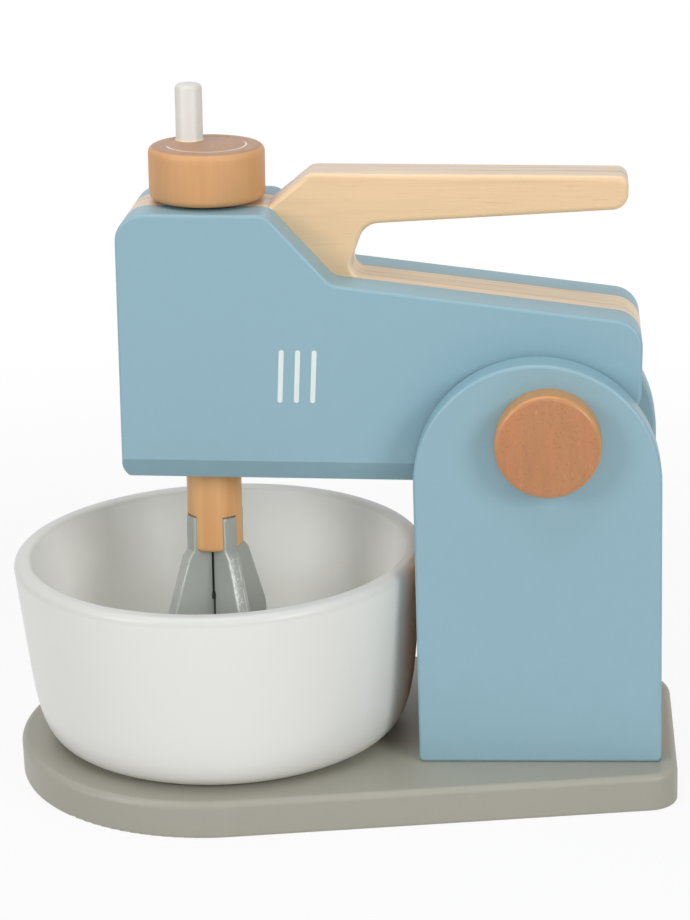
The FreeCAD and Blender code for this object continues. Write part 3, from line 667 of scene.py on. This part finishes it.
def turn_up(name, rings, rounds=(), segments=96):
    """A turned piece about Z: a disc that is extruded and resized from ring to ring, each ring a
    (radius, height), with the rings in rounds, each a (radius, height, size), rounded after."""
    select_only(None)
    radius, height = rings[0]
    bpy.ops.mesh.primitive_circle_add(vertices=segments, radius=radius, fill_type="NGON",
                                      location=(0, 0, height))
    piece = bpy.context.object
    piece.name = name
    bpy.ops.object.transform_apply()
    bpy.ops.object.mode_set(mode="EDIT")
    bpy.ops.mesh.select_mode(type="FACE")
    bpy.ops.mesh.select_all(action="SELECT")
    for next_radius, next_height in rings[1:]:
        ratio = next_radius / radius
        draw_up(height, next_height, ratio, ratio)
        radius, height = next_radius, next_height
    face_outwards()
    for ring in rounds:
        round_ring(piece, *ring)
    bpy.ops.object.mode_set(mode="OBJECT")
    return piece


def place(piece, location, turn, angle=35):
    """Turns and moves a piece, applies that to its mesh, and smooths its shading up to an angle in
    degrees between faces."""
    select_only(piece)
    piece.location = location
    piece.rotation_euler = turn
    bpy.ops.object.transform_apply()
    bpy.ops.object.shade_smooth_by_angle(angle=math.radians(angle))


def stand_for(piece, node, material):
    """Gives a modelled piece its finish and its body, and hides the node that it stands for."""
    piece.data.materials.clear()
    piece.data.materials.append(material)
    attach(piece, node_body[node])
    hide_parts(node)


def dress(names, material):
    """Gives kept nodes of the model a finish."""
    for name in names:
        mesh = frame["nodes"][name].data
        mesh.materials.clear()
        mesh.materials.append(material)


# ---- operators ---------------------------------------------------------------------------------
class MIXER_OT_boards(bpy.types.Operator):
    """Paint the base, the uprights and the head panels"""

    bl_idname = "mixer.boards"
    bl_label = "Painted Boards"

    def execute(self, context):
        colours = context.scene.mixer_colours
        dress(["front_upright", "rear_upright"], painted_board("upright_paint", colours.blue))
        dress(["head_front_panel", "head_rear_panel"],
              painted_board("panel_paint", colours.blue, seams=True))
        dress(["base_plate"], painted_board("taupe_paint", colours.taupe))
        return {"FINISHED"}


class MIXER_OT_vent_bars(bpy.types.Operator):
    """Print the three upright bars on the front of the head"""

    bl_idname = "mixer.vent_bars"
    bl_label = "Vent Bars"

    def execute(self, context):
        bar = self.bar(context.scene.mixer_sizes)
        ink = printed_ink("printed_bars", context.scene.mixer_colours.print_white)
        bar.data.materials.append(ink)
        for number, x in enumerate(BAR_CENTRES_X, 1):
            piece = bpy.data.objects.new(f"vent_bar_{number}", bar.data.copy())
            context.scene.collection.objects.link(piece)
            place(piece, on_head(x, -PANEL_FACE, BAR_CENTRE_Z), (0, head_tilt + BAR_LEAN, 0))
            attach(piece, "head")
        bpy.data.objects.remove(bar)
        return {"FINISHED"}

    def bar(self, sizes):
        """A thin upright film with round ends, its back on the plane Y = 0."""
        select_only(None)
        bpy.ops.mesh.primitive_plane_add(size=1, rotation=(math.pi / 2, 0, 0))
        bar = bpy.context.object
        bar.scale = (sizes.bar_width, sizes.bar_height, 1)
        bpy.ops.object.transform_apply()
        bpy.ops.object.mode_set(mode="EDIT")
        bpy.ops.mesh.select_all(action="SELECT")
        bpy.ops.mesh.bevel(offset=sizes.bar_width * BAR_ROUND, segments=8, affect="VERTICES")
        bpy.ops.mesh.select_all(action="SELECT")
        extrude(0, -INK_DEPTH, 0)
        face_outwards()
        bpy.ops.object.mode_set(mode="OBJECT")
        return bar


class MIXER_OT_bare_boards(bpy.types.Operator):
    """Finish the core with its handle, and the block between the uprights"""

    bl_idname = "mixer.bare_boards"
    bl_label = "Bare Boards"

    def execute(self, context):
        colours = context.scene.mixer_colours
        dress(["head_core"], pale_board("pale_wood", colours))
        dress(["spacer_block"], block_wood("block_beech", colours.block))
        return {"FINISHED"}


class MIXER_OT_knob(bpy.types.Operator):
    """Turn the knob with its ring"""

    bl_idname = "mixer.knob"
    bl_label = "Knob"

    def execute(self, context):
        sizes, colours = context.scene.mixer_sizes, context.scene.mixer_colours
        radius, height, edge = sizes.knob_radius, sizes.knob_height, sizes.knob_edge
        outer = sizes.ring_radius + sizes.ring_width / 2
        inner = sizes.ring_radius - sizes.ring_width / 2
        slope, groove = sizes.ring_width / 4, height - RING_DEPTH
        knob = turn_up("turned_knob", [
            (radius, 0), (radius, height), (outer, height), (outer - slope, groove),
            (inner + slope, groove), (inner, height),
        ], [(radius, 0, edge), (radius, height, edge)])
        place(knob, on_head(0, 0, KNOB_FOOT_Z), (0, head_tilt, 0))
        stand_for(knob, "knob", turned_knob_wood("knob_beech", colours, sizes))
        return {"FINISHED"}


class MIXER_OT_lever(bpy.types.Operator):
    """Turn the lever with its domed tip and the bead of glue at its foot"""

    bl_idname = "mixer.lever"
    bl_label = "Lever"

    def execute(self, context):
        sizes, colours = context.scene.mixer_sizes, context.scene.mixer_colours
        radius, height = sizes.lever_radius, sizes.lever_height
        bead = [(radius + outward, up) for outward, up in GLUE_BEAD]
        tip = [(radius - inward, height - down) for inward, down in LEVER_TIP]
        lever = turn_up("lever_peg", [(radius, -LEVER_ROOT), *bead, *tip], segments=64)
        foot = on_head(LEVER_X, LEVER_Y, KNOB_FOOT_Z + sizes.knob_height)
        place(lever, foot, (0, head_tilt, 0), 60)
        stand_for(lever, "knob_lever", lever_paint("lever_paint", colours, foot))
        return {"FINISHED"}


class MIXER_OT_pivot_caps(bpy.types.Operator):
    """Turn the two caps on the ends of the axle"""

    bl_idname = "mixer.pivot_caps"
    bl_label = "Pivot Caps"

    def execute(self, context):
        sizes, colours = context.scene.mixer_sizes, context.scene.mixer_colours
        radius, thickness = sizes.cap_radius, sizes.cap_thickness
        for side, corner, turn in (("front", 0, math.pi / 2), ("rear", 1, -math.pi / 2)):
            cap = turn_up(f"turned_{side}_cap", [(radius, 0), (radius, thickness)],
                          [(radius, thickness, sizes.cap_edge)])
            seat_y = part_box(f"{side}_upright")[corner].y
            place(cap, (pivot.x, seat_y, pivot.z), (turn, 0, 0))
            wood = cap_wood(f"{side}_cap_beech", colours, turn, abs(seat_y) + thickness)
            stand_for(cap, f"{side}_pivot_cap", wood)
        return {"FINISHED"}


class MIXER_OT_blades(bpy.types.Operator):
    """Cut the two beater blades and halve them over one another"""

    bl_idname = "mixer.blades"
    bl_label = "Beater Blades"

    def execute(self, context):
        sizes, colours = context.scene.mixer_sizes, context.scene.mixer_colours
        for letter, about_axis, slot, highlight_strength in BLADES:
            blade = self.blank(f"blade_{letter}", sizes)
            self.cut_slot(blade, sizes, *slot)
            turn = Matrix.Rotation(head_tilt, 3, "Y") @ Matrix.Rotation(about_axis, 3, "Z")
            turn = tuple(turn.to_euler())
            place(blade, on_head(0, 0, 0), turn)
            paint = blade_paint(f"beater_paint_{letter}", colours, sizes, turn, highlight_strength)
            stand_for(blade, f"beater_blade_{letter}", paint)
        return {"FINISHED"}

    def blank(self, name, sizes):
        """A blade without its slot: the outline, drawn out to its thickness, with its arrises
        broken."""
        blade = self.outline(name, sizes.belly_radius)
        half = sizes.blade_thickness / 2
        bpy.ops.object.mode_set(mode="EDIT")
        bpy.ops.mesh.select_all(action="SELECT")
        extrude(0, sizes.blade_thickness, 0)
        bpy.ops.mesh.select_all(action="SELECT")
        bpy.ops.transform.translate(value=(0, -half, 0))
        face_outwards()
        pick_edges(blade, lambda ends: same(abs(ends[0].y), half) and same(ends[0].y, ends[1].y))
        bpy.ops.mesh.bevel(offset=ARRIS, segments=3, affect="EDGES")
        bpy.ops.object.mode_set(mode="OBJECT")
        return blade

    def outline(self, name, radius):
        """A flat blade: the round belly, cut off level where the flanks touch it, and drawn up
        into flanks, shoulders and a neck."""
        rise = SHOULDER[1] - BELLY_Z
        run = math.hypot(SHOULDER[0], rise)
        touch = math.atan2(rise, SHOULDER[0]) - math.acos(radius / run)
        half, height = radius * math.cos(touch), BELLY_Z + radius * math.sin(touch)
        select_only(None)
        bpy.ops.mesh.primitive_circle_add(vertices=128, radius=radius, fill_type="NGON",
                                          location=(0, 0, BELLY_Z), rotation=(math.pi / 2, 0, 0))
        blade = bpy.context.object
        blade.name = name
        bpy.ops.object.transform_apply()
        bpy.ops.object.mode_set(mode="EDIT")
        bpy.ops.mesh.select_all(action="SELECT")
        bpy.ops.mesh.bisect(plane_co=(0, 0, height), plane_no=(0, 0, 1), clear_outer=True)
        pick_edges(blade, lambda ends: all(same(end.z, height) for end in ends))
        for next_half, next_height in (SHOULDER, NECK_FOOT, NECK_TOP):
            draw_up(height, next_height, next_half / half, 1)
            half, height = next_half, next_height
        bpy.ops.mesh.select_all(action="SELECT")
        bpy.ops.mesh.dissolve_limited(angle_limit=math.radians(0.1))
        bpy.ops.object.mode_set(mode="OBJECT")
        return blade

    def cut_slot(self, blade, sizes, low, high):
        """Halves a blade with a slot that is a little wider than the other blade."""
        thickness = sizes.blade_thickness
        select_only(None)
        bpy.ops.mesh.primitive_cube_add(size=1, location=(0, 0, (low + high) / 2))
        cutter = bpy.context.object
        cutter.scale = (thickness + LAP_GAP, 4 * thickness, high - low)
        bpy.ops.object.transform_apply()
        select_only(blade)
        halving = blade.modifiers.new("halving", "BOOLEAN")
        halving.operation = "DIFFERENCE"
        halving.object = cutter
        bpy.ops.object.modifier_apply(modifier=halving.name)
        bpy.data.objects.remove(cutter)


class MIXER_OT_shaft(bpy.types.Operator):
    """Finish the beater shaft, the spindle and the hidden dowels"""

    bl_idname = "mixer.shaft"
    bl_label = "Shaft And Dowels"

    def execute(self, context):
        wood = context.scene.mixer_colours.shaft
        dress(["beater_shaft", "spindle"],
              dowel_wood("shaft_beech", wood, (0, head_tilt, 0), spin_foot))
        dress(["stand_dowels", "head_dowels", "pivot_axle"],
              dowel_wood("dowel_beech", wood, (math.pi / 2, 0, 0), (0, 0, 0)))
        return {"FINISHED"}


class MIXER_OT_small_parts(bpy.types.Operator):
    """Finish the washers and the screws"""

    bl_idname = "mixer.small_parts"
    bl_label = "Washers And Screws"

    def execute(self, context):
        colours = context.scene.mixer_colours
        dress(["front_pivot_washer", "rear_pivot_washer", "knob_washer", "shaft_washer"],
              washer_plastic("washer_plastic", colours.washer))
        dress(["base_screws"], zinc_steel("zinc_steel", colours.zinc))
        return {"FINISHED"}


class MIXER_OT_bowl(bpy.types.Operator):
    """Turn the bowl with its full belly and rounded rim, and lacquer it"""

    bl_idname = "mixer.bowl"
    bl_label = "Bowl"

    def execute(self, context):
        sizes = context.scene.mixer_sizes
        outer, inner = sizes.bowl_rim, sizes.bowl_rim - sizes.bowl_wall
        outside = self.curve(sizes, 0.0, BOWL_FOOT_Z)
        inside = self.curve(sizes, sizes.bowl_wall, BOWL_FLOOR_Z)
        bowl = turn_up("turned_bowl", [
            (outside[0][0] - BOWL_SET_IN, BOWL_FOOT_Z), *outside, (outer, BOWL_RIM_Z),
            (inner, BOWL_RIM_Z), *reversed(inside), (inside[0][0] - BOWL_SET_IN, BOWL_FLOOR_Z),
        ], [(outer, BOWL_RIM_Z, BOWL_ROUNDS[0]), (inner, BOWL_RIM_Z, BOWL_ROUNDS[1])], segments=160)
        place(bowl, (0, 0, 0), (0, 0, 0))
        lacquer = lacquered_bowl("bowl_lacquer", context.scene.mixer_colours)
        stand_for(bowl, "bowl", lacquer)
        return {"FINISHED"}

    def curve(self, sizes, inset, foot_z):
        """Rings from the foot up to the belly, fuller than a quarter of a round."""
        belly, foot = sizes.bowl_belly - inset, sizes.bowl_foot - inset
        lean = (sizes.bowl_rim - sizes.bowl_belly) / (BOWL_RIM_Z - BOWL_BELLY_Z)
        reach = BOWL_HANDLES[0] * (belly - foot)
        drop = BOWL_HANDLES[1] * (BOWL_BELLY_Z - foot_z)
        points = geometry.interpolate_bezier(
            Vector((foot, foot_z)), Vector((foot + reach, foot_z)),
            Vector((belly - lean * drop, BOWL_BELLY_Z - drop)), Vector((belly, BOWL_BELLY_Z)),
            BOWL_CURVE_STEPS)
        return [tuple(point) for point in points]


class MIXER_OT_stage(bpy.types.Operator):
    """Set the floor, the lamps, the world and the camera"""

    bl_idname = "mixer.stage"
    bl_label = "Stage"

    def execute(self, context):
        self.floor(context.scene.mixer_colours.floor)
        self.lamps()
        self.world(context)
        self.camera(context)
        context.scene.view_settings.view_transform = "Standard"
        return {"FINISHED"}

    def floor(self, paint):
        """A white floor that the camera sees as almost pure white, with the soft shadow kept."""
        select_only(None)
        bpy.ops.mesh.primitive_plane_add(size=FLOOR_SIZE, location=(0, FLOOR_SIZE / 4, 0))
        bpy.ops.object.transform_apply()
        floor = bpy.context.object
        floor.name = "floor"
        n = Nodes("floor_white")
        n.finish(n.dye(paint, 0.99 + n.noise(n.place, scale=2) * 0.02), 0.95)
        n.surface.inputs["Specular IOR Level"].default_value = 0.0
        seen = (n.add("ShaderNodeLightPath", output="Is Camera Ray")
                + n.add("ShaderNodeLightPath", output="Is Glossy Ray"))
        reach = n.add("ShaderNodeVectorMath", {"operation": "LENGTH"}, {0: n.place}, 1)
        glow = 0.9 + n.smooth(reach, *GLOW_EDGE) * 0.1
        white = n.add("ShaderNodeEmission", None, {"Color": (1.0, 1.0, 1.0), "Strength": 1.0})
        mixed = n.add("ShaderNodeMixShader", None,
                      {"Fac": seen * glow, 1: Wire(n, n.surface.outputs[0]), 2: white})
        n.feed(n.tree.nodes["Material Output"].inputs["Surface"], mixed)
        floor.data.materials.append(n.material)

    def lamps(self):
        """Two soft lamps at the sides, a weak one in front and a broad one above."""
        for name, spot, size, power in LAMPS:
            select_only(None)
            bpy.ops.object.light_add(type="AREA", location=spot)
            lamp = bpy.context.object
            lamp.name = name
            lamp.data.size = size
            lamp.data.energy = power
            lamp.rotation_mode = "QUATERNION"
            lamp.rotation_quaternion = (LAMP_TARGET - spot).to_track_quat("-Z", "Y")

    def world(self, context):
        """A weak light from all sides that the camera and reflections see as pure white."""
        world = bpy.data.worlds.new("studio")
        context.scene.world = world
        world.use_nodes = True
        tree = world.node_tree
        background = tree.nodes["Background"]
        background.inputs["Color"].default_value = (1, 1, 1, 1)
        ray = tree.nodes.new("ShaderNodeLightPath")
        seen = tree.nodes.new("ShaderNodeMath")
        seen.operation = "MAXIMUM"
        tree.links.new(ray.outputs["Is Camera Ray"], seen.inputs[0])
        tree.links.new(ray.outputs["Is Glossy Ray"], seen.inputs[1])
        strength = tree.nodes.new("ShaderNodeMapRange")
        strength.inputs["To Min"].default_value = WORLD_LIGHT
        strength.inputs["To Max"].default_value = WORLD_SEEN
        tree.links.new(seen.outputs[0], strength.inputs["Value"])
        tree.links.new(strength.outputs[0], background.inputs["Strength"])

    def camera(self, context):
        """A long lens from the front, a little above and to the right."""
        data = bpy.data.cameras.new("camera")
        data.sensor_width = CAMERA_SENSOR
        data.lens = CAMERA_LENS
        data.clip_start, data.clip_end = CAMERA_CLIP
        camera = bpy.data.objects.new("camera", data)
        context.scene.collection.objects.link(camera)
        camera.matrix_world = (Matrix.Translation(CAMERA_PLACE)
                               @ Matrix.Rotation(CAMERA_YAW, 4, "Z")
                               @ Matrix.Rotation(math.pi / 2 - CAMERA_PITCH, 4, "X")
                               @ Matrix.Rotation(-CAMERA_ROLL, 4, "Z"))
        context.scene.camera = camera


class MIXER_PT_panel(bpy.types.Panel):
    """The sidebar panel with the sizes, the colours and the operators"""

    bl_label = "Toy Stand Mixer"
    bl_idname = "MIXER_PT_panel"
    bl_space_type = "VIEW_3D"
    bl_region_type = "UI"
    bl_category = "Mixer"

    def draw(self, context):
        for group in (context.scene.mixer_sizes, context.scene.mixer_colours):
            for name in group.__annotations__:
                self.layout.prop(group, name)
        for operator in OPERATORS:
            self.layout.operator(operator.bl_idname)


OPERATORS = (MIXER_OT_boards, MIXER_OT_vent_bars, MIXER_OT_bare_boards, MIXER_OT_knob,
             MIXER_OT_lever, MIXER_OT_pivot_caps, MIXER_OT_blades, MIXER_OT_shaft,
             MIXER_OT_small_parts, MIXER_OT_bowl, MIXER_OT_stage)
CLASSES = (MixerColours, MixerSizes, *OPERATORS, MIXER_PT_panel)


def register():
    for cls in CLASSES:
        bpy.utils.register_class(cls)
    bpy.types.Scene.mixer_colours = bpy.props.PointerProperty(type=MixerColours)
    bpy.types.Scene.mixer_sizes = bpy.props.PointerProperty(type=MixerSizes)


def unregister():
    del bpy.types.Scene.mixer_sizes
    del bpy.types.Scene.mixer_colours
    for cls in reversed(CLASSES):
        bpy.utils.unregister_class(cls)


def main():
    register()
    bpy.ops.mixer.boards()
    bpy.ops.mixer.vent_bars()
    bpy.ops.mixer.bare_boards()
    bpy.ops.mixer.knob()
    bpy.ops.mixer.lever()
    bpy.ops.mixer.pivot_caps()
    bpy.ops.mixer.blades()
    bpy.ops.mixer.shaft()
    bpy.ops.mixer.small_parts()
    bpy.ops.mixer.bowl()
    bpy.ops.mixer.stage()


if __name__ == "__main__":
    main()
